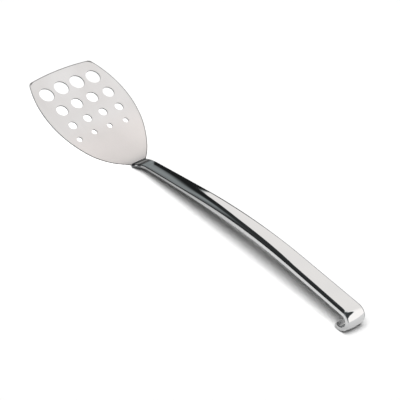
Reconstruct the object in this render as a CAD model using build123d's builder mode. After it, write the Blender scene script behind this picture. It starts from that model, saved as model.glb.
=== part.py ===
from build123d import *
import os
from math import asin, atan2, cos, degrees, hypot, radians, sin, sqrt

# A fish spatula: a perforated sheet blade welded to a forged handle with a curled hook.
# +X runs from the blade to the hook, +Z is up, and the origin is on the table,
# under the middle of the whole length. The part rests on its heel and on its hook.
# Lengths are in millimetres and angles in degrees.

# Blade
blade_thickness = 1.0
blade_width = 83.4
blade_flat_length = 80.0        # from the front edge to where the base starts to curve
blade_tilt = 17.0               # how steeply the flat rises towards the front edge
blade_widest_setback = 40.0     # from the front edge
blade_front_radius = 230.0
blade_corner_radius = 4.5
blade_edge_radius = 0.25
base_curve_radius = 62.0        # upper face, seen from the side
base_curve_turn = 24.5
seam_width = 15.4               # the blade's base edge, and the handle's where they meet

# Drain holes, counted from the front edge
row_count = 4
column_count = 4
hole_gap = 4.0                  # between two holes of the front row
hole_shrink_share = 0.216       # of the front row's diameter, from one row to the next
front_row_setback = 16.2
last_row_setback = 16.25        # from the end of the flat
row_pitch_step = 2.25           # by which each pitch is shorter than the one before
column_side_setback = 16.8      # from the blade's widest place to the outer columns
row_bow_radius = 250.0          # each row is an arc, its middle nearer the front
column_bow_radius = 83.0        # the columns bow together to +Y
column_bow_setback = 36.0       # where they are furthest out
column_bow_shift = 1.6

# Handle, seen from the side
bar_thickness = 4.2
ramp_length = 10.85
ramp_angle = 29.5
shoulder_radius = 5.0
rise_length = 62.0
arch_radius = 480.0
fall_length = 57.0
fall_angle = 3.6
hook_radius = 9.3               # outer face
hook_sweep = 213.0
crown_radius = 45.0             # across the top of the bar

# Handle, seen from above
neck_waist = 3.0                # by which the neck is narrower than the seam
grip_width = 14.9               # where the arch starts
hook_width = 18.8
neck_blend_radius = 40.0
grip_blend_radius = 2600.0
bar_edge_radius = 0.6
lip_corner_radius = 3.5

# Foot, which lies under the blade's base
foot_length = 20.0
foot_thickness = 1.8
foot_front_width = 9.0
foot_side_setback = 1.4         # from the seam's ends, each side
foot_front_radius = 3.5

# Welds
seam_bead_width = 1.5
seam_bead_depth = 0.55
seam_bead_lift = 0.25
foot_bead_width = 0.8
foot_bead_height = 0.8
foot_bead_bevel = 0.6
spot_diameter = 3.6
spot_depth = 0.35               # into each of the two pieces
spot_pitch = 7.5

# One overrun for every cut
overrun = 1.0

# The base curve's centre stands above the heel, and everything is placed from it
seam_angle = base_curve_turn - blade_tilt
sheet_under_radius = base_curve_radius + blade_thickness
foot_under_radius = sheet_under_radius + foot_thickness
foot_front_angle = seam_angle - degrees(foot_length / sheet_under_radius)


def on_curve(radius, angle):
    """A point round the base curve's centre, its angle counted from straight down to +X."""
    return (radius * sin(radians(angle)), foot_under_radius - radius * cos(radians(angle)))


def moved(point, heading, distance, left=0.0):
    """A point moved along a heading, and to the left of it."""
    along_x, along_z = cos(radians(heading)), sin(radians(heading))
    return (
        point[0] + distance * along_x - left * along_z,
        point[1] + distance * along_z + left * along_x,
    )


def crossing(point, heading, other_point, other_heading):
    """Where two lines meet, each given by a point and a heading."""
    gap_x, gap_z = other_point[0] - point[0], other_point[1] - point[1]
    other_x, other_z = cos(radians(other_heading)), sin(radians(other_heading))
    reach = (gap_x * other_z - gap_z * other_x) / sin(radians(other_heading - heading))
    return moved(point, heading, reach)


def sagitta(radius, half_chord):
    """How far an arc stands off the middle of its chord."""
    return radius - sqrt(radius**2 - half_chord**2)


# The bar rises as steeply as it takes for the heel and the hook to stand on one table
seam_top = on_curve(base_curve_radius, seam_angle)
shoulder = moved(seam_top, ramp_angle, ramp_length)
arch_end_height = (
    hook_radius * (1 + cos(radians(fall_angle))) + fall_length * sin(radians(fall_angle))
)
arch_centre_drop = arch_end_height - arch_radius * cos(radians(fall_angle)) - shoulder[1]
rise_angle = degrees(
    atan2(arch_radius, rise_length) + asin(arch_centre_drop / hypot(rise_length, arch_radius))
)

# The bar's upper line: where the arch starts, its centre and the hook's centre
arch_start = moved(shoulder, rise_angle, rise_length)
arch_centre = moved(arch_start, rise_angle, 0.0, -arch_radius)
arch_end = moved(arch_centre, -fall_angle, 0.0, arch_radius)
fall_end = moved(arch_end, -fall_angle, fall_length)
hook_centre = moved(fall_end, -fall_angle, 0.0, -hook_radius)
lip_heading = -fall_angle - hook_sweep
lip_outer = moved(hook_centre, lip_heading, 0.0, hook_radius)

# The underside is parallel to the upper line, but for the bar's taper to the ramp
ramp_thickness = (blade_thickness + foot_thickness) * cos(radians(ramp_angle - seam_angle))
under_rise_angle = rise_angle - degrees(asin((bar_thickness - ramp_thickness) / rise_length))
under_arch_radius = arch_radius - bar_thickness
under_arch_start = moved(arch_centre, under_rise_angle, 0.0, under_arch_radius)
under_seam = on_curve(foot_under_radius, seam_angle)
under_shoulder = crossing(under_seam, ramp_angle, under_arch_start, under_rise_angle)
hook_inner_radius = hook_radius - bar_thickness
lip_inner = moved(hook_centre, lip_heading, 0.0, hook_inner_radius)

# The part's two ends: the front edge's lower corner and the hook
flat_start = on_curve(base_curve_radius, -blade_tilt)
corner_centre = moved(
    flat_start,
    180 - blade_tilt,
    blade_flat_length - blade_edge_radius,
    blade_thickness - blade_edge_radius,
)
front_reach = corner_centre[0] - blade_edge_radius
hook_reach = hook_centre[0] + hook_radius
middle_x = (front_reach + hook_reach) / 2

# Drawing planes: the side view, the view from above and the blade's upper face
side = Plane(origin=(-middle_x, 0, 0), x_dir=(1, 0, 0), z_dir=(0, -1, 0))
above = Plane(origin=(-middle_x, 0, 0))
blade_face = Plane(
    origin=(flat_start[0] - middle_x, 0, flat_start[1]),
    x_dir=(cos(radians(blade_tilt)), 0, -sin(radians(blade_tilt))),
    z_dir=(sin(radians(blade_tilt)), 0, cos(radians(blade_tilt))),
)


def placed(point, across=0.0):
    """A point of the side view as a point of the part."""
    return (point[0] - middle_x, across, point[1])


def draw_bar_line(offset, lead=0.0, tail=0.0):
    """The bar's upper line from its corner to the lip, moved outwards and run on at its ends."""
    start = moved(shoulder, rise_angle, -lead, offset)
    rise = PolarLine(start, rise_length + lead, rise_angle)
    arch = JernArc(rise @ 1, rise % 1, arch_radius + offset, -rise_angle - fall_angle)
    fall = PolarLine(arch @ 1, fall_length, -fall_angle)
    tail_angle = degrees(tail / hook_radius)
    return JernArc(fall @ 1, fall % 1, hook_radius + offset, -hook_sweep - tail_angle)


def draw_seam_groove(top_lift):
    """The vee between the blade's base edge and the ramp, closed by an arc over its top."""
    half_width = seam_bead_width / 2
    on_sheet = on_curve(base_curve_radius, seam_angle - degrees(half_width / base_curve_radius))
    root = on_curve(base_curve_radius + seam_bead_depth, seam_angle)
    on_ramp = moved(seam_top, ramp_angle, half_width)
    over_seam = moved(seam_top, (seam_angle + ramp_angle) / 2, 0.0, top_lift)
    Polyline(on_sheet, root, on_ramp)
    ThreePointArc(on_ramp, over_seam, on_sheet)


def spot_planes():
    """A plane at the middle of each spot weld, between the foot and the sheet, facing down."""
    foot_middle_angle = (foot_front_angle + seam_angle) / 2
    half_pitch_angle = degrees(spot_pitch / sheet_under_radius) / 2
    for angle in (foot_middle_angle - half_pitch_angle, foot_middle_angle + half_pitch_angle):
        yield Plane(
            origin=placed(on_curve(sheet_under_radius, angle)),
            x_dir=(0, 1, 0),
            z_dir=(sin(radians(angle)), 0, -cos(radians(angle))),
        )


# Widths that follow the seam's
neck_width = seam_width - neck_waist
foot_rear_width = seam_width - 2 * foot_side_setback

# The blade's side arcs run from its widest place to the seam's ends
widest = blade_widest_setback - blade_flat_length
side_reach = base_curve_radius * sin(radians(base_curve_turn)) - widest
side_drop = (blade_width - seam_width) / 2
blade_side_radius = (side_reach**2 + side_drop**2) / (2 * side_drop)
side_centre = blade_side_radius - blade_width / 2

# The drain holes fill the flat in both directions
column_pitch = (blade_width - 2 * column_side_setback) / (column_count - 1)
front_hole_diameter = column_pitch - hole_gap
rows_reach = blade_flat_length - front_row_setback - last_row_setback
front_row_pitch = rows_reach / (row_count - 1) + row_pitch_step * (row_count - 2) / 2

# The foot from above, which the handle and the foot's weld share. It runs on under the ramp.
with BuildSketch(above) as foot_plan:
    with BuildLine():
        foot_front_x = on_curve(sheet_under_radius, foot_front_angle)[0]
        foot_rear_x = seam_top[0] + overrun
        Polyline(
            (foot_rear_x, foot_rear_width / 2),
            (foot_front_x, foot_front_width / 2),
            (foot_front_x, -foot_front_width / 2),
            (foot_rear_x, -foot_rear_width / 2),
            close=True,
        )
    make_face()
    fillet(foot_plan.vertices().group_by(Axis.X)[0], foot_front_radius)

# The seam's bead ends where the rounding of the ramp's edges starts
seam_bead_length = seam_width - 2 * bar_edge_radius

# Blade
with BuildPart() as blade:
    with BuildSketch(side):
        with BuildLine():
            upper_front = moved(flat_start, 180 - blade_tilt, blade_flat_length)
            lower_front = moved(upper_front, 180 - blade_tilt, 0.0, blade_thickness)
            lower_flat_start = on_curve(sheet_under_radius, -blade_tilt)
            lower_seam = on_curve(sheet_under_radius, seam_angle)
            Line(upper_front, flat_start)
            ThreePointArc(flat_start, on_curve(base_curve_radius, 0.0), seam_top)
            Line(seam_top, lower_seam)
            ThreePointArc(lower_seam, on_curve(sheet_under_radius, 0.0), lower_flat_start)
            Polyline(lower_flat_start, lower_front, upper_front)
        make_face()
    extrude(amount=blade_width, both=True)
    # The outline: two side arcs, which the seam cuts off, and the bowed front edge
    with BuildSketch(blade_face) as outline:
        with Locations((widest, side_centre)):
            Circle(blade_side_radius)
        with Locations((widest, -side_centre)):
            Circle(blade_side_radius, mode=Mode.INTERSECT)
        with Locations((blade_front_radius - blade_flat_length, 0)):
            Circle(blade_front_radius, mode=Mode.INTERSECT)
        fillet(outline.vertices().group_by(Axis.X)[0], blade_corner_radius)
    extrude(amount=blade_width, both=True, mode=Mode.INTERSECT)
    # Each rim edge is one smooth line from the seam round the front and back
    fillet(
        [
            blade.edges().sort_by_distance(placed(upper_front))[0],
            blade.edges().sort_by_distance(placed(lower_front))[0],
        ],
        blade_edge_radius,
    )
    # The drain holes, row by row from the front
    with BuildSketch(blade_face):
        row_x = front_row_setback - blade_flat_length
        bow_x = column_bow_setback - blade_flat_length
        for row in range(row_count):
            row_shift = column_bow_shift - sagitta(column_bow_radius, row_x - bow_x)
            for column in range(column_count):
                across = (column - (column_count - 1) / 2) * column_pitch
                with Locations((row_x + sagitta(row_bow_radius, across), across + row_shift)):
                    Circle(front_hole_diameter * (1 - row * hole_shrink_share) / 2)
            row_x += front_row_pitch - row * row_pitch_step
    extrude(amount=blade_thickness + overrun, both=True, mode=Mode.SUBTRACT)
    fillet(blade.edges(Select.LAST).filter_by(GeomType.CIRCLE), blade_edge_radius)
    # Room for the welds
    with BuildSketch(side):
        with BuildLine():
            draw_seam_groove(overrun)
        make_face()
    extrude(amount=seam_bead_length / 2, both=True, mode=Mode.SUBTRACT)
    for plane in spot_planes():
        with BuildSketch(plane):
            Circle(spot_diameter / 2)
        extrude(amount=spot_depth, both=True, mode=Mode.SUBTRACT)
blade.part.label = "blade"

# Handle
with BuildPart() as handle:
    with BuildSketch(side):
        with BuildLine():
            foot_front = on_curve(sheet_under_radius, foot_front_angle)
            ThreePointArc(foot_front, on_curve(sheet_under_radius, 0.0), lower_seam)
            raised_shoulder = moved(shoulder, rise_angle, 0.0, overrun)
            Polyline(lower_seam, seam_top, shoulder, raised_shoulder)
            draw_bar_line(overrun)
            raised_lip = moved(hook_centre, lip_heading, 0.0, hook_radius + overrun)
            Line(raised_lip, lip_inner)
            inner_middle_heading = (lip_heading - fall_angle) / 2
            hook_inner_middle = moved(hook_centre, inner_middle_heading, 0.0, hook_inner_radius)
            hook_inner_start = moved(hook_centre, -fall_angle, 0.0, hook_inner_radius)
            ThreePointArc(lip_inner, hook_inner_middle, hook_inner_start)
            under_arch_end = moved(arch_centre, -fall_angle, 0.0, under_arch_radius)
            under_arch_middle = moved(arch_centre, 0.0, 0.0, under_arch_radius)
            Line(hook_inner_start, under_arch_end)
            ThreePointArc(under_arch_end, under_arch_middle, under_arch_start)
            Polyline(under_arch_start, under_shoulder, under_seam)
            under_front = on_curve(foot_under_radius, foot_front_angle)
            ThreePointArc(under_seam, on_curve(foot_under_radius, 0.0), under_front)
            Line(under_front, foot_front)
        make_face()
    extrude(amount=hook_width, both=True)
    # The outline from above: the foot, the neck and the widening grip
    with BuildSketch(above):
        with BuildLine():
            widening_end = (hook_reach + overrun, hook_width / 2)
            FilletPolyline(
                (seam_top[0], seam_width / 2),
                (shoulder[0], neck_width / 2),
                (arch_start[0], grip_width / 2),
                widening_end,
                radius=[neck_blend_radius, grip_blend_radius],
            )
            Line(widening_end, (widening_end[0], 0))
            Line((seam_top[0], seam_width / 2), (seam_top[0], 0))
            mirror(about=Plane.XZ)
        make_face()
        add(foot_plan.sketch_local)
    extrude(amount=hook_radius + arch_radius, both=True, mode=Mode.INTERSECT)
    # The crown: what stands above an arched section that follows the upper line is cut away
    with BuildLine(side) as crown_line:
        draw_bar_line(0.0, lead=overrun + shoulder_radius, tail=overrun)
    crown_start = crown_line.line @ 0
    with BuildSketch(Plane(origin=crown_start, x_dir=(0, 1, 0), z_dir=crown_line.line % 0)):
        half_cut = hook_width / 2 + overrun
        crown_drop = sagitta(crown_radius, half_cut)
        with BuildLine():
            ThreePointArc((-half_cut, -crown_drop), (0, 0), (half_cut, -crown_drop))
            Polyline(
                (half_cut, -crown_drop),
                (half_cut, bar_thickness),
                (-half_cut, bar_thickness),
                (-half_cut, -crown_drop),
            )
        make_face()
    sweep(path=crown_line.line, mode=Mode.SUBTRACT)
    # The two bends between the ramp and the bar
    shoulder_edges = [
        handle.edges().sort_by_distance(placed(shoulder, across))[0]
        for across in (neck_width / 4, -neck_width / 4)
    ]
    fillet(shoulder_edges, shoulder_radius)
    fillet(handle.edges().sort_by_distance(placed(under_shoulder))[0], shoulder_radius)
    # The bar's long edges, each one smooth line to the lip, and the lip's own two edges
    bar_edges = [
        handle.edges().sort_by_distance(placed(moved(shoulder, rise_angle, reach, left), across))[0]
        for across in (neck_width / 2, -neck_width / 2)
        for reach, left in ((rise_length / 2, 0.0), (rise_length / 2, -bar_thickness))
    ]
    lip_edges = [
        handle.edges().sort_by_distance(placed(corner))[0] for corner in (lip_outer, lip_inner)
    ]
    fillet(bar_edges + lip_edges, bar_edge_radius)
    # The lip's rounded corners
    lip_width_share = (lip_outer[0] - arch_start[0]) / (widening_end[0] - arch_start[0])
    lip_width = grip_width + (hook_width - grip_width) * lip_width_share
    lip_plane = Plane(
        origin=placed(lip_outer),
        x_dir=(0, 1, 0),
        z_dir=(-sin(radians(lip_heading)), 0, cos(radians(lip_heading))),
    )
    with BuildSketch(lip_plane):
        Rectangle(hook_width + overrun, 2 * lip_corner_radius)
        with Locations((0, hook_width / 2)):
            RectangleRounded(lip_width, hook_width, lip_corner_radius, mode=Mode.SUBTRACT)
    extrude(amount=bar_thickness + overrun, both=True, mode=Mode.SUBTRACT)
    # Room for the welds
    with BuildSketch(side):
        with BuildLine():
            draw_seam_groove(overrun)
        make_face()
    extrude(amount=seam_bead_length / 2, both=True, mode=Mode.SUBTRACT)
    for plane in spot_planes():
        with BuildSketch(plane):
            Circle(spot_diameter / 2)
        extrude(amount=spot_depth, both=True, mode=Mode.SUBTRACT)
handle.part.label = "handle"

# Weld along the seam, dressed to a low bead
with BuildPart() as seam_weld:
    with BuildSketch(side):
        with BuildLine():
            draw_seam_groove(seam_bead_lift)
        make_face()
    extrude(amount=seam_bead_length / 2, both=True)
seam_weld.part.label = "seam_weld"

# Weld round the foot, under the sheet
with BuildPart() as foot_weld:
    with BuildSketch(above):
        add(foot_plan.sketch_local)
        offset(amount=foot_bead_width)
        add(foot_plan.sketch_local, mode=Mode.SUBTRACT)
        with Locations((seam_top[0], 0)):
            Rectangle(
                foot_length, seam_width, align=(Align.MIN, Align.CENTER), mode=Mode.SUBTRACT
            )
    extrude(amount=foot_under_radius)
    with BuildSketch(side):
        with Locations((0, foot_under_radius)):
            Circle(sheet_under_radius + foot_bead_height)
            Circle(sheet_under_radius, mode=Mode.SUBTRACT)
    extrude(amount=seam_width, both=True, mode=Mode.INTERSECT)
    bead_front = on_curve(sheet_under_radius + foot_bead_height, foot_front_angle)
    bead_toe = placed((foot_front_x - foot_bead_width, bead_front[1]))
    chamfer(foot_weld.edges().sort_by_distance(bead_toe)[0], foot_bead_bevel)
foot_weld.part.label = "foot_weld"

# Spot welds, closed in between the foot and the sheet
with BuildPart() as spot_welds:
    for plane in spot_planes():
        with BuildSketch(plane):
            Circle(spot_diameter / 2)
        extrude(amount=spot_depth, both=True)
spot_welds.part.label = "spot_welds"

os.makedirs("parts", exist_ok=True)
export_step(blade.part, "parts/blade.step")
export_step(handle.part, "parts/handle.step")
export_step(seam_weld.part, "parts/seam_weld.step")
export_step(foot_weld.part, "parts/foot_weld.step")
export_step(spot_welds.part, "parts/spot_welds.step")
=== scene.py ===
from math import asin, atan2, ceil, cos, degrees, hypot, pi, radians, sin, sqrt, tan

import bmesh
import bpy
from mathutils import Matrix, Vector


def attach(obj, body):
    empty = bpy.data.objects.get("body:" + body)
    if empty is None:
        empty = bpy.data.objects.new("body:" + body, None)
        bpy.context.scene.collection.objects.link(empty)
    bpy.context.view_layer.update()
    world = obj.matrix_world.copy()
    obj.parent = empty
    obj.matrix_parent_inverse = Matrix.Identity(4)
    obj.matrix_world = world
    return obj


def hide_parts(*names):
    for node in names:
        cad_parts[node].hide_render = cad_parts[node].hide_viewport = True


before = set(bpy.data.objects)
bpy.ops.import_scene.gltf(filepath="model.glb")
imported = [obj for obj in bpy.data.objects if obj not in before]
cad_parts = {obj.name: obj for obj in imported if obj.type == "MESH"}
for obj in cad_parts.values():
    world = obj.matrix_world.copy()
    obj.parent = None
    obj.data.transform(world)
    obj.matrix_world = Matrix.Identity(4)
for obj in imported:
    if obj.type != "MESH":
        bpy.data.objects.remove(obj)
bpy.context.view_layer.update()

scene = bpy.context.scene
scene.view_settings.view_transform = "Standard"


# Camera: the photograph's view
camera_target = Vector((0.0092, -0.0099, 0.0202))
camera_distance = 1.70
camera_azimuth = 38.68
camera_elevation = 36.96
camera_roll = 11.98
camera_lens_mm = 200.0
camera_sensor_mm = 36.0

camera_data = bpy.data.cameras.new("camera")
camera_data.lens = camera_lens_mm
camera_data.sensor_width = camera_sensor_mm
camera_data.clip_start = 0.05
camera_data.clip_end = 20.0
camera = bpy.data.objects.new("camera", camera_data)
turn = (
    Matrix.Rotation(radians(camera_azimuth), 4, "Z")
    @ Matrix.Rotation(radians(90 - camera_elevation), 4, "X")
    @ Matrix.Rotation(radians(camera_roll), 4, "Z")
)
camera.matrix_world = Matrix.Translation(camera_target) @ turn @ Matrix.Translation(
    (0, 0, camera_distance)
)
scene.collection.objects.link(camera)
scene.camera = camera


# Node helpers
def grey(tone):
    return (tone, tone, tone, 1)


class Graph:
    """A node tree with short ways to add and join nodes."""

    def __init__(self, tree):
        self.tree = tree

    def add(self, kind, **values):
        node = self.tree.nodes.new(kind)
        for name, value in values.items():
            setattr(node, name, value)
        return node

    def plug(self, value, socket):
        if isinstance(value, bpy.types.NodeSocket):
            self.tree.links.new(value, socket)
        elif value is not None:
            socket.default_value = value

    def math(self, operation, *values):
        node = self.add("ShaderNodeMath", operation=operation)
        for value, socket in zip(values, node.inputs):
            self.plug(value, socket)
        return node.outputs[0]

    def chain(self, operation, *values):
        """All the values joined by one operation, from the first to the last."""
        joined = values[0]
        for value in values[1:]:
            joined = self.math(operation, joined, value)
        return joined

    def step(self, value, start, end, low=0.0, high=1.0):
        """A smooth step of the value from low at start to high at end."""
        node = self.add("ShaderNodeMapRange", interpolation_type="SMOOTHSTEP")
        for given, name in (
            (value, "Value"),
            (start, "From Min"),
            (end, "From Max"),
            (low, "To Min"),
            (high, "To Max"),
        ):
            self.plug(given, node.inputs[name])
        return node.outputs["Result"]

    def axes(self, vector):
        """The vector's X, Y and Z."""
        node = self.add("ShaderNodeSeparateXYZ")
        self.plug(vector, node.inputs[0])
        return tuple(node.outputs)

    def noise(self, vector, scale, detail=2.0, roughness=0.5):
        node = self.add("ShaderNodeTexNoise")
        self.plug(vector, node.inputs["Vector"])
        node.inputs["Scale"].default_value = scale
        node.inputs["Detail"].default_value = detail
        node.inputs["Roughness"].default_value = roughness
        return node.outputs["Fac"]

    def stretched(self, vector, scale):
        node = self.add("ShaderNodeVectorMath", operation="MULTIPLY")
        self.plug(vector, node.inputs[0])
        node.inputs[1].default_value = scale
        return node.outputs[0]

    def mix(self, share, first, second):
        """A number between two numbers."""
        node = self.add("ShaderNodeMix", data_type="FLOAT")
        self.plug(share, node.inputs["Factor"])
        self.plug(first, node.inputs[2])
        self.plug(second, node.inputs[3])
        return node.outputs[0]

    def blend(self, share, first, second):
        """A colour between two colours."""
        node = self.add("ShaderNodeMix", data_type="RGBA")
        self.plug(share, node.inputs["Factor"])
        self.plug(first, node.inputs[6])
        self.plug(second, node.inputs[7])
        return node.outputs[2]

    def bump(self, height, strength, distance, normal=None):
        node = self.add("ShaderNodeBump")
        node.inputs["Strength"].default_value = strength
        node.inputs["Distance"].default_value = distance
        self.plug(height, node.inputs["Height"])
        if normal is not None:
            self.plug(normal, node.inputs["Normal"])
        return node.outputs["Normal"]


# Studio: what the polished steel mirrors, by azimuth from +X and by elevation, in degrees.
# A long pale softbox stands behind the spatula, and past its left edge come a dark gap and a
# grey wall. None of it lights the floor, which has lights of its own.
softbox_glow = 1.2
softbox_far_glow = 1.5          # at its right end
wall_glow = 0.34
gap_glow = 0.02
high_gap_glow = 0.042
back_glow = 0.06
ceiling_glow = 0.07
overhead_glow = 0.9
room_glow = 0.3
softbox_tint = (1.0, 0.975, 0.96, 1)
shade_tint = (0.9, 0.98, 1.0, 1)

# Courses: how an edge or a glow changes with an angle. Each is a sum of smooth steps, given by
# the angles where the step starts and ends, and by the values before and after it.
softbox_left = ((12.5, 25.6, 129.5, 134.7), (36.0, 58.0, 0.0, -8.0))
softbox_right = ((18.0, 40.0, 4.0, 20.0),)
softbox_top = ((15.0, 40.0, -14.0, 0.0), (60.0, 85.0, 46.0, 64.0), (112.0, 132.0, 0.0, -5.0))
softbox_bottom = ((100.0, 122.0, -20.0, 13.2),)
softbox_glows = ((62.0, 88.0, softbox_far_glow, softbox_glow),)
wall_edge = ((22.0, 31.0, 136.7, 140.2), (43.0, 57.0, 0.0, -4.0))
wall_glows = ((36.0, 48.0, wall_glow, ceiling_glow),)
room_dimming = ((-115.0, -95.0, 0.25, 1.0),)
room_glows = ((40.0, 70.0, room_glow, ceiling_glow),)
# Low down the wall reaches across the gap, and high up the gap is a little paler
gap_glows = ((6.0, 11.5, wall_glow, gap_glow), (26.0, 40.0, 0.0, high_gap_glow - gap_glow))

# How far an edge fades to each side of its course, in degrees
softbox_left_fade = (-0.3, 0.3)
softbox_right_fade = (-5.0, 5.0)
softbox_top_fade = (-3.0, 3.0)
softbox_bottom_fade = (-0.5, 0.5)
wall_edge_fade = (-1.0, 1.2)
gap_edge_fade = (-2.0, 0.0)     # from the softbox's left edge

# Where the dark behind the softbox, the back of the room and the wall's end come in, by azimuth
far_side = (-10.0, 15.0)
back = (140.0, 165.0)
wall_end = (150.0, 165.0)

# A second softbox hangs high over the spatula's other side: how far it reaches to each side of
# its azimuth, and from which elevation up
overhead_azimuth = -80.0
overhead_sides = (42.0, 52.0)
overhead_bottom = (56.0, 62.0)

wall_cloud_scale = 14.0
wall_cloud_depth = 1.1
wall_cloud_least = 0.45

world = bpy.data.worlds.new("studio")
scene.world = world
world.use_nodes = True
world.cycles_visibility.diffuse = False
studio = Graph(world.node_tree)
background = world.node_tree.nodes["Background"]
direction = studio.add("ShaderNodeTexCoord").outputs["Generated"]
toward_x, toward_y, toward_z = studio.axes(direction)
azimuth = studio.math("MULTIPLY", studio.math("ARCTAN2", toward_y, toward_x), 180 / pi)
elevation = studio.math("MULTIPLY", studio.math("ARCSINE", toward_z), 180 / pi)


def course(angle, steps):
    return studio.chain("ADD", *(studio.step(angle, *step) for step in steps))


def past(angle, edge):
    return studio.math("SUBTRACT", angle, edge)


past_left = past(azimuth, course(elevation, softbox_left))
in_softbox = studio.chain(
    "MULTIPLY",
    studio.step(past(azimuth, course(elevation, softbox_right)), *softbox_right_fade),
    studio.step(past_left, *softbox_left_fade, 1.0, 0.0),
    studio.step(past(elevation, course(azimuth, softbox_top)), *softbox_top_fade, 1.0, 0.0),
    studio.step(past(elevation, course(azimuth, softbox_bottom)), *softbox_bottom_fade),
)
before_wall_end = studio.step(azimuth, *wall_end, 1.0, 0.0)
on_wall = studio.math(
    "MULTIPLY",
    studio.step(past(azimuth, course(elevation, wall_edge)), *wall_edge_fade),
    before_wall_end,
)
past_softbox = studio.math("MULTIPLY", studio.step(past_left, *gap_edge_fade), before_wall_end)
overhead = studio.math(
    "MULTIPLY",
    studio.step(
        studio.math("ABSOLUTE", past(azimuth, overhead_azimuth)), *overhead_sides, 1.0, 0.0
    ),
    studio.step(elevation, *overhead_bottom),
)
wall_clouds = studio.math(
    "MULTIPLY", studio.noise(direction, wall_cloud_scale), wall_cloud_depth
)
wall_level = studio.math(
    "MULTIPLY",
    studio.math("ADD", wall_cloud_least, wall_clouds),
    course(elevation, wall_glows),
)
level = studio.math("MULTIPLY", course(azimuth, room_dimming), course(elevation, room_glows))
for share, amount in (
    (overhead, overhead_glow),
    (studio.step(azimuth, *far_side), ceiling_glow),
    (studio.step(azimuth, *back), back_glow),
    (past_softbox, course(elevation, gap_glows)),
    (on_wall, wall_level),
    (in_softbox, course(azimuth, softbox_glows)),
):
    level = studio.mix(share, level, amount)
# The camera itself sees plain white past the floor
seen = studio.add("ShaderNodeLightPath").outputs["Is Camera Ray"]
studio.plug(studio.mix(seen, level, 1.0), background.inputs["Strength"])
tint = studio.blend(in_softbox, shade_tint, softbox_tint)
studio.plug(studio.blend(seen, tint, grey(1)), background.inputs["Color"])


# Lights for the floor and the shadow
def far_softbox(name, light_azimuth, light_elevation, spread, strength):
    """A soft light from far off, by its azimuth and elevation, which nothing mirrors."""
    light = bpy.data.lights.new(name, "SUN")
    light.energy = strength
    light.angle = radians(spread)
    across = cos(radians(light_elevation))
    way = Vector(
        (
            across * cos(radians(light_azimuth)),
            across * sin(radians(light_azimuth)),
            sin(radians(light_elevation)),
        )
    )
    lamp = bpy.data.objects.new(name, light)
    lamp.location = way
    lamp.rotation_euler = way.to_track_quat("Z", "Y").to_euler()
    lamp.visible_glossy = False
    scene.collection.objects.link(lamp)
    return lamp


key = far_softbox(
    "key_softbox", light_azimuth=-72.0, light_elevation=68.0, spread=44.0, strength=3.9
)
far_softbox("fill_dome", light_azimuth=0.0, light_elevation=90.0, spread=170.0, strength=0.12)

# The photograph's floor is white through the blade's holes, so the key passes the blade
passed_by_key = bpy.data.collections.new("passed_by_key")
passed_by_key.objects.link(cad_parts["blade"])
for entry in passed_by_key.collection_objects:
    entry.light_linking.link_state = "EXCLUDE"
key.light_linking.blocker_collection = passed_by_key

# Floor
floor_half_size = 4.0
floor_corners = ((-1, -1), (1, -1), (1, 1), (-1, 1))
floor_mesh = bpy.data.meshes.new("floor")
floor_mesh.from_pydata(
    [(x * floor_half_size, y * floor_half_size, 0) for x, y in floor_corners],
    [],
    [(0, 1, 2, 3)],
)
floor = bpy.data.objects.new("floor", floor_mesh)
scene.collection.objects.link(floor)
floor_material = bpy.data.materials.new("floor")
floor_material.use_nodes = True
floor_shader = floor_material.node_tree.nodes["Principled BSDF"]
floor_shader.inputs["Base Color"].default_value = grey(0.85)
floor_shader.inputs["Roughness"].default_value = 1.0
floor_shader.inputs["Specular IOR Level"].default_value = 0.0
floor_mesh.materials.append(floor_material)


# The frame's measures, in millimetres and degrees
MM = 0.001
blade_width = 83.4
blade_thickness = 1.0
blade_flat_length = 80.0
blade_tilt = 17.0
blade_widest_setback = 40.0
blade_front_radius = 230.0
blade_corner_radius = 4.5
blade_edge_radius = 0.25
base_curve_radius = 62.0
base_curve_turn = 24.5
seam_width = 15.4
bar_thickness = 4.2
ramp_length = 10.85
ramp_angle = 29.5
rise_length = 62.0
arch_radius = 480.0
fall_length = 57.0
fall_angle = 3.6
hook_radius = 9.3
hook_sweep = 213.0
crown_radius = 45.0
neck_waist = 3.0
grip_width = 14.9
hook_width = 18.8
neck_blend_radius = 40.0
grip_blend_radius = 2600.0
bar_edge_radius = 0.6
lip_corner_radius = 3.5
foot_length = 20.0
foot_thickness = 1.8
foot_front_width = 9.0
foot_side_setback = 1.4
foot_front_radius = 3.5
overrun = 1.0

# Measures of the smooth handle alone
shoulder_ease_radius = 30.0     # a softer bend than the frame's, which stays within 0.4 of it
rise_bow = 0.3                  # by which the rise ends flatter than a straight one, in degrees
top_edge_radius = 0.9
taper_length = 75.0             # from the neck, over which the bar thickens to its full measure
taper_power = 1.8

seam_angle = base_curve_turn - blade_tilt
sheet_under_radius = base_curve_radius + blade_thickness
foot_under_radius = sheet_under_radius + foot_thickness
foot_front_angle = seam_angle - degrees(foot_length / sheet_under_radius)


def on_curve(radius, angle):
    """A point round the base curve's centre, its angle counted from straight down to +X."""
    return (radius * sin(radians(angle)), foot_under_radius - radius * cos(radians(angle)))


def moved(point, heading, distance, left=0.0):
    """A point moved along a heading, and to the left of it."""
    along_x, along_z = cos(radians(heading)), sin(radians(heading))
    return (
        point[0] + distance * along_x - left * along_z,
        point[1] + distance * along_z + left * along_x,
    )


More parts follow.
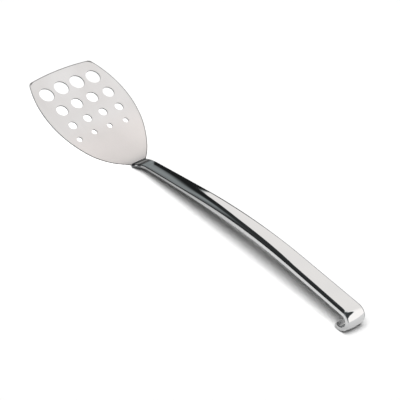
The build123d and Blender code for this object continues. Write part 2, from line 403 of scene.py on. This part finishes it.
seam_top = on_curve(base_curve_radius, seam_angle)
under_seam = on_curve(foot_under_radius, seam_angle)
shoulder = moved(seam_top, ramp_angle, ramp_length)
arch_end_height = (
    hook_radius * (1 + cos(radians(fall_angle))) + fall_length * sin(radians(fall_angle))
)
arch_centre_drop = arch_end_height - arch_radius * cos(radians(fall_angle)) - shoulder[1]
rise_angle = degrees(
    atan2(arch_radius, rise_length) + asin(arch_centre_drop / hypot(rise_length, arch_radius))
)
arch_length = arch_radius * radians(rise_angle + fall_angle)
arch_start = moved(shoulder, rise_angle, rise_length)
arch_centre = moved(arch_start, rise_angle, 0.0, -arch_radius)
arch_end = moved(arch_centre, -fall_angle, 0.0, arch_radius)
hook_reach = moved(arch_end, -fall_angle, fall_length, -hook_radius)[0] + hook_radius
flat_start = on_curve(base_curve_radius, -blade_tilt)
front_reach = (
    moved(
        flat_start,
        180 - blade_tilt,
        blade_flat_length - blade_edge_radius,
        blade_thickness - blade_edge_radius,
    )[0]
    - blade_edge_radius
)
middle_x = (front_reach + hook_reach) / 2
ramp_thickness = (blade_thickness + foot_thickness) * cos(radians(ramp_angle - seam_angle))
neck_width = seam_width - neck_waist
foot_rear_width = seam_width - 2 * foot_side_setback

# The blade's side arcs run from its widest place to the ends of the seam
widest = blade_widest_setback - blade_flat_length
side_reach = base_curve_radius * sin(radians(base_curve_turn)) - widest
side_drop = (blade_width - seam_width) / 2
blade_side_radius = (side_reach**2 + side_drop**2) / (2 * side_drop)
side_centre = blade_side_radius - blade_width / 2

# The rise is bowed a little: it starts steeper and ends flatter, and meets the arch smoothly
arch_heading = rise_angle - rise_bow
rise_heading = rise_angle + rise_bow * (1 + arch_length / rise_length)


# Materials. Tones between two are given as a pair, and places on the spatula in metres.
sheet_tones = (grey(0.765), (0.86, 0.855, 0.86, 1))
sheet_cloud_tone = (0.82, 0.795, 0.785, 1)
sheet_warm_tones = ((0.77, 0.745, 0.735, 1), (0.855, 0.82, 0.81, 1))
# A painted highlight that lightens the blade's curved base
sheet_base_highlight_tone = (0.96, 0.925, 0.91, 1)
# Painted shade for the steep walls of the stamped rim and the holes
wall_shade_tone = grey(0.17)
# A painted dark reflection line just inside the blade's outline
rim_shade_tone = grey(0.15)
bar_tones = ((0.61, 0.615, 0.62, 1), (0.65, 0.65, 0.645, 1))
# Painted shade and dark reflection on the bar, where its 'edge' attribute says
bar_shade_tone = (0.035, 0.038, 0.042, 1)
# Near black: a painted dark reflection along the seam
weld_tones = (grey(0.06), grey(0.13))

warm_along = (-0.125, -0.095)
# Where the painted highlight on the curved base comes in, along X
base_highlight_along = (-0.088, -0.068)
# Where the painted dark rim line runs
front_rim_along = (-0.1672, -0.1652)
far_rim_across = (-0.004, 0.0)
rim_line = (0.6 * MM, 0.9 * MM)     # its full tone's depth inside the outline, and its end
rim_line_share = 0.9
wall_slope = (0.45, 0.8)            # how far up a face looks, from a hole's wall to a flat face


def new_steel(name):
    material = bpy.data.materials.new(name)
    material.use_nodes = True
    graph = Graph(material.node_tree)
    shader = material.node_tree.nodes["Principled BSDF"]
    shader.inputs["Metallic"].default_value = 1.0
    place = graph.add("ShaderNodeTexCoord").outputs["Object"]
    return material, graph, shader, place


def rim_depth(graph, place):
    """How far inside the blade's outline a point lies: its side arcs, front arc and corners."""
    tilt = radians(blade_tilt)
    along = graph.add("ShaderNodeVectorMath", operation="DOT_PRODUCT")
    graph.plug(place, along.inputs[0])
    along.inputs[1].default_value = (cos(tilt), 0, -sin(tilt))
    start = (flat_start[0] - middle_x) * cos(tilt) - flat_start[1] * sin(tilt)
    u = graph.math("SUBTRACT", along.outputs["Value"], start * MM)
    v = graph.math("ABSOLUTE", graph.axes(place)[1])
    corner = blade_corner_radius * MM
    squares = []
    for centre_u, centre_v, radius in (
        (widest, -side_centre, blade_side_radius),
        (blade_front_radius - blade_flat_length, 0.0, blade_front_radius),
    ):
        square_u = graph.math("POWER", graph.math("SUBTRACT", u, centre_u * MM), 2.0)
        square_v = graph.math("POWER", graph.math("SUBTRACT", v, centre_v * MM), 2.0)
        distance = graph.math("SQRT", graph.math("ADD", square_u, square_v))
        near = graph.math("SUBTRACT", distance, radius * MM - corner)
        squares.append(graph.math("POWER", graph.math("MAXIMUM", near, 0.0), 2.0))
    return graph.math("SUBTRACT", corner, graph.math("SQRT", graph.chain("ADD", *squares)))


def make_satin():
    """Sheet steel with a fine lengthwise grain and faint cloudy handling marks, with a painted
    highlight on its base and painted shade on its walls and outline.
    """
    material, graph, shader, place = new_steel("satin_steel")
    x, y, _ = graph.axes(place)
    stretched = graph.stretched(place, (120.0, 5200.0, 120.0))
    grain = graph.noise(stretched, scale=1.0, detail=3.0, roughness=0.6)
    clouds = graph.noise(place, scale=28.0, detail=3.0, roughness=0.55)
    specks = graph.noise(place, scale=900.0)
    tone = graph.blend(grain, *sheet_tones)
    tone = graph.blend(graph.step(clouds, 0.35, 0.7, high=0.35), tone, sheet_cloud_tone)
    # The steel is a little warmer towards the seam, and a painted highlight lightens the curved
    # base
    warm = graph.blend(grain, *sheet_warm_tones)
    tone = graph.blend(graph.step(x, *warm_along), tone, warm)
    tone = graph.blend(graph.step(x, *base_highlight_along), tone, sheet_base_highlight_tone)
    # Painted shade: the stamped rim's and the holes' steep walls are darkened by how steep the
    # face is
    normal = graph.add("ShaderNodeNewGeometry").outputs["Normal"]
    flatness = graph.math("ABSOLUTE", graph.axes(normal)[2])
    tone = graph.blend(graph.step(flatness, *wall_slope, 1.0, 0.0), tone, wall_shade_tone)
    # A painted dark reflection: a thin dark line just inside the outline, at the front and along
    # the +Y side
    rim_shade_sides = graph.math(
        "MAXIMUM",
        graph.step(y, *far_rim_across),
        graph.step(x, *front_rim_along, 1.0, 0.0),
    )
    rim_shade = graph.step(rim_depth(graph, place), *rim_line, rim_line_share, 0.0)
    tone = graph.blend(graph.math("MULTIPLY", rim_shade, rim_shade_sides), tone, rim_shade_tone)
    graph.plug(tone, shader.inputs["Base Color"])
    roughness = graph.math(
        "ADD",
        graph.step(clouds, 0.3, 0.7, low=0.33, high=0.38),
        graph.math("MULTIPLY", grain, 0.04),
    )
    graph.plug(roughness, shader.inputs["Roughness"])
    grained = graph.bump(grain, strength=0.12, distance=0.00004)
    specked = graph.bump(specks, strength=0.06, distance=0.00005, normal=grained)
    graph.plug(specked, shader.inputs["Normal"])
    return material


def make_polished():
    """Mirror-polished bar with hairline polishing marks and faint smudges, and painted shade and
    dark reflections from its 'edge' attribute.
    """
    material, graph, shader, place = new_steel("polished_steel")
    smudges = graph.noise(place, scale=55.0, detail=4.0, roughness=0.6)
    stretched = graph.stretched(place, (150.0, 9000.0, 9000.0))
    hairlines = graph.noise(stretched, scale=1.0)
    # The 'edge' attribute carries the bar's painted shade and dark reflections
    painted_shade = graph.add("ShaderNodeAttribute", attribute_name="edge").outputs["Fac"]
    tone = graph.blend(painted_shade, graph.blend(smudges, *bar_tones), bar_shade_tone)
    graph.plug(tone, shader.inputs["Base Color"])
    roughness = graph.math(
        "ADD",
        graph.step(smudges, 0.4, 0.75, low=0.015, high=0.035),
        graph.math("MULTIPLY", hairlines, 0.015),
    )
    graph.plug(roughness, shader.inputs["Roughness"])
    lined = graph.bump(hairlines, strength=0.05, distance=0.00001)
    graph.plug(lined, shader.inputs["Normal"])
    return material


def make_weld():
    """A dressed weld: rippled along its run, then buffed, in a near-black tone that is a painted
    dark reflection along the seam.
    """
    material, graph, shader, place = new_steel("weld_steel")
    ripples = graph.noise(graph.stretched(place, (500.0, 1400.0, 500.0)), scale=1.0)
    clouds = graph.noise(place, scale=160.0, detail=3.0)
    graph.plug(graph.blend(clouds, *weld_tones), shader.inputs["Base Color"])
    graph.plug(graph.step(clouds, 0.3, 0.7, low=0.12, high=0.26), shader.inputs["Roughness"])
    rippled = graph.bump(ripples, strength=0.35, distance=0.00008)
    graph.plug(rippled, shader.inputs["Normal"])
    return material


# Handle: the bar's own smooth mesh, made of rings from the foot to the lip
bar_pitch = 2.0                 # between rings
hook_pitch = 0.4
foot_steps = 40
foot_ease = 0.35                # how far the foot's rings crowd towards its two ends
ramp_steps = 32
bend_steps = 10
bend_gap = 0.5                  # from the shoulder's bend to the bar's next ring
lip_steps = 14
sharp_edge = 0.05               # radius of an edge that only looks sharp
most_edge_share = 0.45          # of the thickness and the half width, that an edge may round
smooth_angle = 35.0


def corner_blend(distance, before, after, reach):
    """How far a rounded corner of an outline lies inside it, and its two straight runs."""
    straight = before * distance if distance < 0 else after * distance
    if abs(distance) >= reach:
        return straight
    share = (distance + reach) / (2 * reach)
    return -before * reach + 2 * reach * (before * share + (after - before) * share**2 / 2)


def half_width(x):
    """The bar's half width, from the seam to the hook."""
    neck, grip, hook = neck_width / 2, grip_width / 2, hook_width / 2
    flare = (neck - seam_width / 2) / (shoulder[0] - seam_top[0])
    first = (grip - neck) / (arch_start[0] - shoulder[0])
    second = (hook - grip) / (hook_reach + overrun - arch_start[0])
    neck_reach = neck_blend_radius * abs(first - flare) / 2
    grip_reach = grip_blend_radius * abs(second - first) / 2
    if x < (shoulder[0] + arch_start[0]) / 2:
        return neck + corner_blend(x - shoulder[0], flare, first, neck_reach)
    return grip + corner_blend(x - arch_start[0], first, second, grip_reach)


def bar_line():
    """The bar's upper line from the shoulder to the lip: point, heading and thickness."""
    hook_end_angle = -fall_angle - hook_sweep
    runs = (
        (rise_length, rise_heading, arch_heading, bar_pitch),
        (arch_length, arch_heading, -fall_angle, bar_pitch),
        (fall_length, -fall_angle, -fall_angle, bar_pitch),
        (hook_radius * radians(hook_sweep), -fall_angle, hook_end_angle, hook_pitch),
    )
    point, travelled = shoulder, 0.0
    line = [(point, rise_heading, ramp_thickness)]
    for length, first, last, pitch in runs:
        steps = ceil(length / pitch)
        for step in range(1, steps + 1):
            heading = first + (last - first) * step / steps
            middle = first + (last - first) * (step - 0.5) / steps
            half_turn = radians(last - first) / steps / 2
            chord = length / steps * (sin(half_turn) / half_turn if half_turn else 1.0)
            point = moved(point, middle, chord)
            travelled += length / steps
            share = min(travelled / taper_length, 1.0) ** taper_power
            thickness = ramp_thickness + (bar_thickness - ramp_thickness) * share
            line.append((point, heading, thickness))
    return line


def bend(corner, before, after, radius, steps):
    """Points of an arc that rounds a corner of the side view."""
    reach = radius * tan(radians(abs(after - before)) / 2)
    start = moved(corner, before, -reach)
    side = -1 if after < before else 1
    centre = moved(start, before, 0.0, side * radius)
    return [
        moved(centre, before + (after - before) * step / steps, 0.0, -side * radius)
        for step in range(steps + 1)
    ]


def crossing(point, heading, other_point, other_heading):
    """Where two lines meet, each given by a point and a heading."""
    gap_x, gap_z = other_point[0] - point[0], other_point[1] - point[1]
    other_x, other_z = cos(radians(other_heading)), sin(radians(other_heading))
    reach = (gap_x * other_z - gap_z * other_x) / sin(radians(other_heading - heading))
    return moved(point, heading, reach)


def between(first, second, share):
    return tuple(a + (b - a) * share for a, b in zip(first, second))


def drop_of_round(radius, distance):
    """How far a rounded corner falls back, at a distance from its end."""
    return radius - sqrt(max(radius**2 - (radius - distance) ** 2, 0.0))


# Each station is an upper point, a lower point, a half width, an edge radius and a crown share
stations = []

# Foot
foot_front_x = on_curve(sheet_under_radius, foot_front_angle)[0]
foot_run = seam_top[0] + overrun - foot_front_x
for step in range(foot_steps + 1):
    share = step / foot_steps
    share = share * share * (3 - 2 * share) * foot_ease + share * (1 - foot_ease)
    angle = foot_front_angle + (seam_angle - foot_front_angle) * share
    upper = on_curve(sheet_under_radius, angle)
    lower = on_curve(foot_under_radius, angle)
    reach = upper[0] - foot_front_x
    half = (foot_front_width + (foot_rear_width - foot_front_width) * reach / foot_run) / 2
    if reach < foot_front_radius:
        half -= drop_of_round(foot_front_radius, reach)
    stations.append((upper, lower, half, sharp_edge, 0.0))
# Ramp
sheet_end = on_curve(sheet_under_radius, seam_angle)
stations.append((sheet_end, under_seam, seam_width / 2, sharp_edge, 0.0))
stations.append((seam_top, under_seam, seam_width / 2, bar_edge_radius, 0.0))
line = bar_line()
lower_line = [moved(point, heading, 0.0, -thickness) for point, heading, thickness in line]
under_shoulder = crossing(under_seam, ramp_angle, lower_line[1], rise_heading)
upper_bend = bend(shoulder, ramp_angle, rise_heading, shoulder_ease_radius, bend_steps)
lower_bend = bend(under_shoulder, ramp_angle, rise_heading, shoulder_ease_radius, bend_steps)
for step in range(1, ramp_steps):
    share = step / ramp_steps
    upper = between(seam_top, upper_bend[0], share)
    lower = between(under_seam, lower_bend[0], share)
    stations.append((upper, lower, half_width(upper[0]), top_edge_radius, 0.0))
for step, (upper, lower) in enumerate(zip(upper_bend, lower_bend)):
    stations.append((upper, lower, half_width(upper[0]), top_edge_radius, step / bend_steps))
# Bar and hook, with the lip's end rounded off
line_length = [0.0]
for (first, *_), (second, *_) in zip(line, line[1:]):
    line_length.append(line_length[-1] + hypot(second[0] - first[0], second[1] - first[1]))
for (upper, heading, thickness), lower, run in zip(line, lower_line, line_length):
    left = line_length[-1] - run
    if upper[0] < upper_bend[-1][0] + bend_gap or left < lip_corner_radius:
        continue
    stations.append((upper, lower, half_width(upper[0]), top_edge_radius, 1.0))
end_point, end_heading, _ = line[-1]
lip_half = stations[-1][2]
hook_centre = moved(end_point, end_heading, 0.0, -hook_radius)
for step in range(1, lip_steps + 1):
    left = lip_corner_radius * (1 - sin(pi / 2 * step / lip_steps))
    heading = end_heading + degrees(left / hook_radius)
    inset = drop_of_round(bar_edge_radius, left) if left < bar_edge_radius else 0.0
    upper = moved(hook_centre, heading, 0.0, hook_radius - inset)
    lower = moved(hook_centre, heading, 0.0, hook_radius - bar_thickness + inset)
    corner = drop_of_round(lip_corner_radius, left)
    edge = max(top_edge_radius - inset, sharp_edge)
    stations.append((upper, lower, lip_half - corner, edge, 1.0))


# Each ring's points, from the middle of the top down one side, and back up the other
top_steps = 18
edge_steps = 8
under_steps = 6
side_marks = (0.03, 0.5, 0.97)  # shares of the flat side's height
edge_hold = 0.04                # from an edge to the loop that keeps the faces beside it flat

# Painted shade and dark reflection on the bar, from 0 for its bare polish to 1 for the darkest
# tone
shade_reach = 0.45               # share of the upper edge's rounding that is painted dark
shade_border = 0.4               # and how far onto the top
wide_shade_border = 1.4          # the same where the rise turns into the arch
wide_border_start = 66.0
wide_border_rise = 10.0
wide_border_end = 155.0
wide_border_fall = 55.0
near_edge_shade = 0.4                 # the upper edge's painted shade on the -Y side, against the +Y side
least_near_edge_shade = 0.15          # the same low on the curl
near_edge_shade_rise = 8.0
curl_top = 13.0                 # height under which the curl is painted darker
curl_fade = 6.0
curl_shade = 0.3
side_depth = 1.0                # from the top down to where the bar's sides count as such
ramp_side_shade = 0.84
bar_side_shade = 0.58
bar_side_run = 135.0            # over which the sides' painted shade fades out
# Shares of the ramp, for its two painted dark reflection bands
ramp_side_end = 0.9
first_band_end = 0.32
first_band_fall = 0.06
second_band_start = 0.46
second_band_rise = 0.08
second_band_end = 0.92
second_band_fall = 0.12


def within(value, least=0.0, most=1.0):
    return min(max(value, least), most)


def painted_shade_at(x, z, up):
    """The bar's painted shade: two dark reflection bands up the ramp, darker sides that lighten
    slowly, and the curl darker low down.
    """
    # Painted shade: the curl darker low down
    if x > arch_end[0] and z < curl_top:
        return curl_shade * within((curl_top - z) / curl_fade)
    share = (x - seam_top[0]) / (shoulder[0] - seam_top[0])
    # Painted shade: the sides darker near the neck, fading along the bar
    if up < -side_depth:
        if share < ramp_side_end:
            return ramp_side_shade
        return max(bar_side_shade * (1 - (x - shoulder[0]) / bar_side_run), 0.0)
    # Two painted dark reflection bands up the ramp
    first = (first_band_end - share) / first_band_fall
    second_start = (share - second_band_start) / second_band_rise
    second_end = (second_band_end - share) / second_band_fall
    return within(max(first, min(second_start, second_end)))


def near_edge_shade_at(x, z):
    """The upper edge's painted shade on the -Y side, against the +Y side: less down the curl."""
    if x > arch_end[0]:
        return within((z - curl_top) / near_edge_shade_rise, least_near_edge_shade, near_edge_shade)
    return near_edge_shade


def border_at(x):
    """How far the edge's painted shade reaches onto the top."""
    start = (x - wide_border_start) / wide_border_rise
    end = (wide_border_end - x) / wide_border_fall
    return shade_border + (wide_shade_border - shade_border) * within(min(start, end))


def section(half, thickness, edge, crown, border, near_share):
    """A ring of (across, up, painted shade): crowned top, rounded edges and flat underside."""
    under_edge = min(bar_edge_radius, edge)
    lean = asin((half - edge) / (crown_radius - edge)) * crown
    top_half = half - edge + edge * sin(lean)
    crown_up = sqrt((crown_radius - edge) ** 2 - (half - edge) ** 2) - crown_radius
    centre_up = crown_up * crown - edge * (1 - crown)
    low = under_edge - thickness
    # One side, from the middle of the top down to the middle of the underside
    side = []
    marks = [(top_half - border) * step / top_steps for step in range(top_steps + 1)]
    for across in marks + [top_half - border / 2, top_half - edge_hold]:
        # Painted dark reflection along the upper edge's rounding and onto the top
        shade_share = within((across - top_half + border) * 2 / border)
        side.append((across, (sqrt(crown_radius**2 - across**2) - crown_radius) * crown, shade_share))
    for step in range(edge_steps + 1):
        angle = (pi / 2 - lean) * (1 - step / edge_steps)
        shade_share = 1.0 - max(step / edge_steps - shade_reach, 0.0) / (1 - shade_reach)
        side.append((half - edge + edge * cos(angle), centre_up + edge * sin(angle), shade_share))
    for share in side_marks:
        side.append((half, centre_up + (low - centre_up) * share, 0.0))
    under_half = half - under_edge
    for step in range(edge_steps + 1):
        angle = -pi / 2 * step / edge_steps
        across = under_half + under_edge * cos(angle)
        side.append((across, low + under_edge * sin(angle), 0.0))
    side.append((under_half - edge_hold, -thickness, 0.0))
    for step in range(1, under_steps + 1):
        side.append((under_half * (1 - step / under_steps), -thickness, 0.0))
    return side + [(-across, up, shade_share * near_share) for across, up, shade_share in side[-2:0:-1]]


def make_handle():
    verts, faces, painted_shade = [], [], []
    for upper, lower, half, edge, crown in stations:
        thickness = hypot(upper[0] - lower[0], upper[1] - lower[1])
        up_x, up_z = (upper[0] - lower[0]) / thickness, (upper[1] - lower[1]) / thickness
        edge = min(edge, thickness * most_edge_share, half * most_edge_share)
        ring = section(
            half, thickness, edge, crown, border_at(upper[0]), near_edge_shade_at(*upper)
        )
        for across, up, shade_share in ring:
            painted_shade.append(max(shade_share, painted_shade_at(*upper, up)))
            verts.append(
                (
                    (upper[0] + up_x * up - middle_x) * MM,
                    across * MM,
                    (upper[1] + up_z * up) * MM,
                )
            )
    count = len(ring)
    for row in range(len(stations) - 1):
        for column in range(count):
            after = (column + 1) % count
            a, b = row * count + column, row * count + after
            faces.append((a, b, b + count, a + count))
    faces.append(tuple(range(count))[::-1])
    faces.append(tuple(range((len(stations) - 1) * count, len(stations) * count)))
    mesh = bpy.data.meshes.new("handle_bar")
    mesh.from_pydata(verts, [], faces)
    form = bmesh.new()
    form.from_mesh(mesh)
    bmesh.ops.recalc_face_normals(form, faces=form.faces)
    form.to_mesh(mesh)
    form.free()
    mesh.shade_smooth()
    mesh.set_sharp_from_angle(angle=radians(smooth_angle))
    # The 'edge' attribute holds the bar's painted shade
    mesh.attributes.new("edge", "FLOAT", "POINT").data.foreach_set("value", painted_shade)
    piece = bpy.data.objects.new("handle_bar", mesh)
    scene.collection.objects.link(piece)
    mesh.materials.append(polished)
    return piece


satin, polished, weld = make_satin(), make_polished(), make_weld()
for node, material in (
    ("blade", satin),
    ("handle", polished),
    ("seam_weld", weld),
    ("foot_weld", weld),
    ("spot_welds", weld),
):
    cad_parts[node].data.materials[0] = material

handle_bar = make_handle()
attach(handle_bar, "root")
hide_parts("handle")
